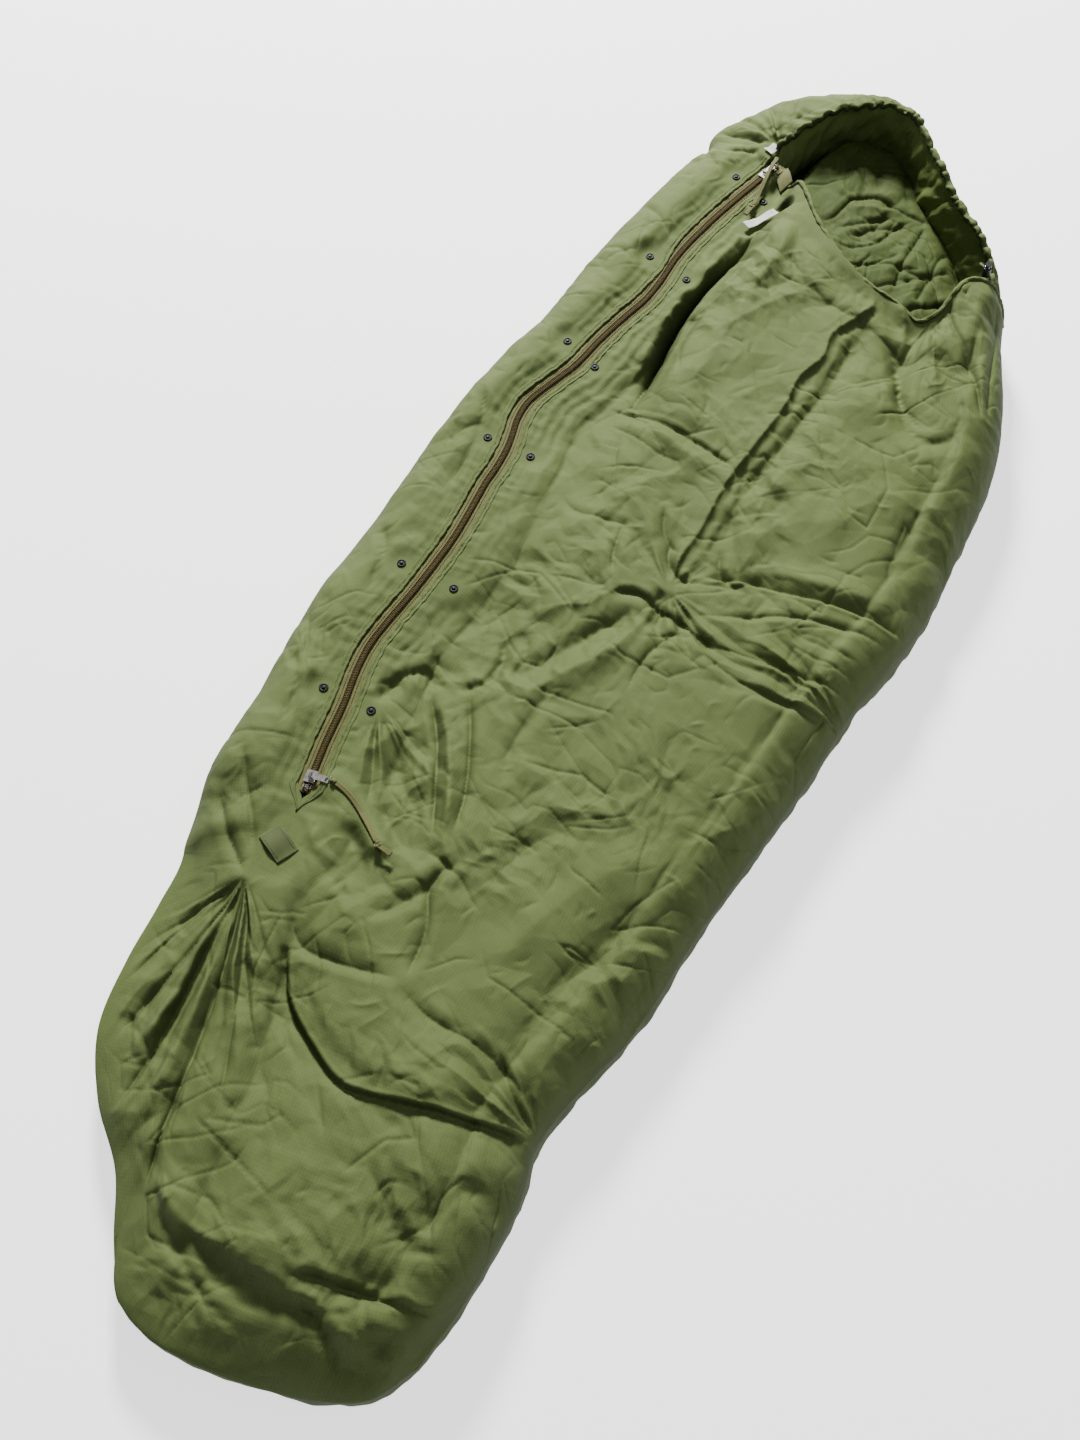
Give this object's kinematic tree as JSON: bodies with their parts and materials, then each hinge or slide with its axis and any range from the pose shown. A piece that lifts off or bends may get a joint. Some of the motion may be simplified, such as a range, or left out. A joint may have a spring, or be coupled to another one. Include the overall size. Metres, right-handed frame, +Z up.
{
  "type": "mummy sleeping bag",
  "caption": "Quilted mummy-shaped patrol sack lying closed, with a two-way zip, twin rows of snap studs, pull cords, gathered hood opening and a sprung cord lock.",
  "frame": {"origin": "on the floor under the middle of the lying sack", "axes": "+Y from the foot to the head, +X to the sack's right-hand edge as seen from above with the head away, +Z up"},
  "size_m": [0.7585, 2.0634, 0.1716],
  "materials": {
    "shell_fabric": "olive ripstop nylon, fine grid, soft sheen",
    "lining_fabric": "darker olive nylon taffeta, quilted",
    "batting": "white polyester batting",
    "khaki_webbing": "khaki woven tape, ribbed",
    "zip_coil": "brown nylon coil",
    "nickel_plate": "nickel-plated metal, lightly worn",
    "snap_metal": "black enamelled brass snap",
    "black_plastic": "moulded black nylon",
    "drawcord": "braided olive cord",
    "label": "plain white woven label, blank"
  },
  "bodies": {
    "sack": {"care_label": "label", "chest_drawcord": "drawcord", "chest_hem_casing": "shell_fabric", "draft_tube": "lining_fabric", "drawcord_end_knot": "drawcord", "foot_end_batting": "batting", "foot_end_lining": "lining_fabric", "foot_end_shell": "shell_fabric", "hanging_tab": "khaki_webbing", "hood_batting": "batting", "hood_drawcord": "drawcord", "hood_hem_casing": "shell_fabric", "hood_lining": "lining_fabric", "hood_shell": "shell_fabric", "left_top_batting": "batting", "left_top_lining": "lining_fabric", "left_top_shell": "shell_fabric", "main_top_batting": "batting", "main_top_lining": "lining_fabric", "main_top_shell": "shell_fabric", "size_label": "label", "snap_left_1": "snap_metal", "snap_left_2": "snap_metal", "snap_left_3": "snap_metal", "snap_left_4": "snap_metal", "snap_left_5": "snap_metal", "snap_left_6": "snap_metal", "snap_right_1": "snap_metal", "snap_right_2": "snap_metal", "snap_right_3": "snap_metal", "snap_right_4": "snap_metal", "snap_right_5": "snap_metal", "snap_right_6": "snap_metal", "underside_batting": "batting", "underside_lining": "lining_fabric", "underside_shell": "shell_fabric", "zip_bottom_stop": "nickel_plate", "zip_coil_left": "zip_coil", "zip_coil_right": "zip_coil", "zip_tape_left": "khaki_webbing", "zip_tape_right": "khaki_webbing", "zip_top_stop_left": "nickel_plate", "zip_top_stop_right": "nickel_plate"},
    "lower_slider": {"lower_slider": "nickel_plate"},
    "lower_puller": {"lower_puller": "nickel_plate", "lower_ring": "nickel_plate"},
    "lower_pull_cord": {"lower_pull_cord": "khaki_webbing", "lower_cord_knot": "khaki_webbing"},
    "upper_slider": {"upper_slider": "nickel_plate"},
    "upper_puller": {"upper_puller": "nickel_plate", "upper_ring": "nickel_plate"},
    "upper_pull_cord": {"upper_pull_cord": "khaki_webbing", "upper_cord_knot": "khaki_webbing"},
    "cord_lock": {"cord_lock_barrel": "black_plastic", "cord_lock_spring": "nickel_plate"},
    "lock_plunger": {"cord_lock_plunger": "black_plastic"}
  },
  "joints": [
    {"name": "lower_zip_travel", "type": "hinge", "parent": "sack", "child": "lower_slider", "pos_m": [2.545, -0.046, 0.09], "axis": [0, 0, -1], "range_deg": [0, 12.1]},
    {"name": "lower_puller_flip", "type": "hinge", "parent": "lower_slider", "child": "lower_puller", "pos_m": [-0.23105, -0.41147, 0.0982], "axis": [0.1305, -0.9914, 0], "range_deg": [0, 130]},
    {"name": "lower_cord_hang", "type": "hinge", "parent": "lower_puller", "child": "lower_pull_cord", "pos_m": [-0.20576, -0.40814, 0.0982], "axis": [0.1305, -0.9914, 0], "range_deg": [-130, 0]},
    {"name": "upper_zip_travel", "type": "hinge", "parent": "sack", "child": "upper_slider", "pos_m": [2.545, -0.046, 0.09], "axis": [0, 0, -1], "range_deg": [-10.9, 0]},
    {"name": "upper_puller_flip", "type": "hinge", "parent": "upper_slider", "child": "upper_puller", "pos_m": [-0.11796, 0.81925, 0.0982], "axis": [0.9511, -0.309, 0], "range_deg": [0, 130]},
    {"name": "upper_cord_hang", "type": "hinge", "parent": "upper_puller", "child": "upper_pull_cord", "pos_m": [-0.11008, 0.8435, 0.0982], "axis": [0.9511, -0.309, 0], "range_deg": [-130, 0]},
    {"name": "cord_lock_slide", "type": "slide", "parent": "sack", "child": "cord_lock", "axis": [0.6, -0.8, 0], "range_m": [0, 0.008]},
    {"name": "lock_plunger_press", "type": "slide", "parent": "cord_lock", "child": "lock_plunger", "axis": [0, 0, -1], "range_m": [0, 0.0034], "stiffness_N_per_m": 150, "springref_m": -0.002, "deforming": ["cord_lock_spring"]}
  ],
  "couplings": [
    {"joint": "lower_cord_hang", "follows": "lower_puller_flip", "ratio": -1},
    {"joint": "upper_cord_hang", "follows": "upper_puller_flip", "ratio": -1}
  ]
}
